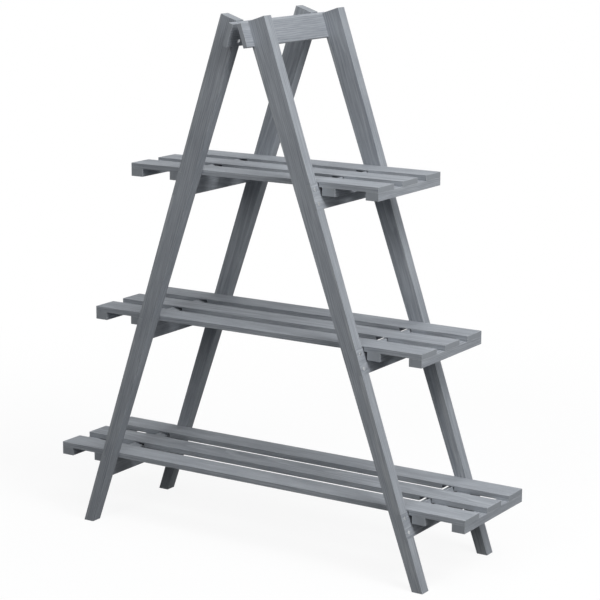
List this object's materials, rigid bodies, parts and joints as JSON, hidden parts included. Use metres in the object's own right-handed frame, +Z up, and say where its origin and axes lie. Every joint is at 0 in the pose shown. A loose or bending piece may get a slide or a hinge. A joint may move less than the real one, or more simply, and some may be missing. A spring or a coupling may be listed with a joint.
{
  "type": "plant ladder stand",
  "caption": "Tiered A-frame ladder stand of grey-washed wood: leaning ladders hinged at a ridge carry slatted plant shelves that hook over the rungs.",
  "frame": {"origin": "on the floor, midway between the four feet", "axes": "+X along the shelves towards the right ladder, +Y from the front to the rear, +Z up from the floor to the ridge"},
  "size_m": [0.9, 0.3134, 1],
  "materials": {
    "washed_wood": "grey water-based stain over planed softwood, matt",
    "screw_steel": "zinc-plated, slightly dull",
    "hinge_steel": "zinc-plated pressed steel"
  },
  "bodies": {
    "right_ladder": {"right_front_leg": "washed_wood", "right_rear_leg": "washed_wood", "right_ridge_board": "washed_wood", "right_top_rung": "washed_wood", "right_middle_rung": "washed_wood", "right_bottom_rung": "washed_wood", "right_rung_screws": "screw_steel", "right_ridge_screws": "screw_steel", "front_hinge_right_leaf": "hinge_steel", "front_hinge_pin": "hinge_steel", "rear_hinge_right_leaf": "hinge_steel", "rear_hinge_pin": "hinge_steel", "right_hinge_screws": "screw_steel"},
    "left_ladder": {"left_front_leg": "washed_wood", "left_rear_leg": "washed_wood", "left_ridge_board": "washed_wood", "left_top_rung": "washed_wood", "left_middle_rung": "washed_wood", "left_bottom_rung": "washed_wood", "left_rung_screws": "screw_steel", "left_ridge_screws": "screw_steel", "front_hinge_left_leaf": "hinge_steel", "rear_hinge_left_leaf": "hinge_steel", "left_hinge_screws": "screw_steel"},
    "bottom_shelf": {"bottom_front_slat": "washed_wood", "bottom_middle_slat": "washed_wood", "bottom_rear_slat": "washed_wood", "bottom_left_rail": "washed_wood", "bottom_right_rail": "washed_wood", "bottom_left_batten": "washed_wood", "bottom_right_batten": "washed_wood", "bottom_shelf_screws": "screw_steel"},
    "middle_shelf": {"middle_front_slat": "washed_wood", "middle_middle_slat": "washed_wood", "middle_rear_slat": "washed_wood", "middle_left_rail": "washed_wood", "middle_right_rail": "washed_wood", "middle_left_batten": "washed_wood", "middle_right_batten": "washed_wood", "middle_shelf_screws": "screw_steel"},
    "top_shelf": {"top_front_slat": "washed_wood", "top_middle_slat": "washed_wood", "top_rear_slat": "washed_wood", "top_left_rail": "washed_wood", "top_right_rail": "washed_wood", "top_left_batten": "washed_wood", "top_right_batten": "washed_wood", "top_shelf_screws": "screw_steel"}
  },
  "joints": [
    {"name": "ladder_fold", "type": "hinge", "parent": "right_ladder", "child": "left_ladder", "pos_m": [0, 0, 0.98113], "axis": [0, -1, 0], "range_deg": [0, 36.9]},
    {"name": "bottom_shelf_lift", "type": "slide", "parent": "right_ladder", "child": "bottom_shelf", "axis": [0, 0, 1], "range_m": [0, 0.04]},
    {"name": "middle_shelf_lift", "type": "slide", "parent": "right_ladder", "child": "middle_shelf", "axis": [0, 0, 1], "range_m": [0, 0.04]},
    {"name": "top_shelf_lift", "type": "slide", "parent": "right_ladder", "child": "top_shelf", "axis": [0, 0, 1], "range_m": [0, 0.04]}
  ]
}
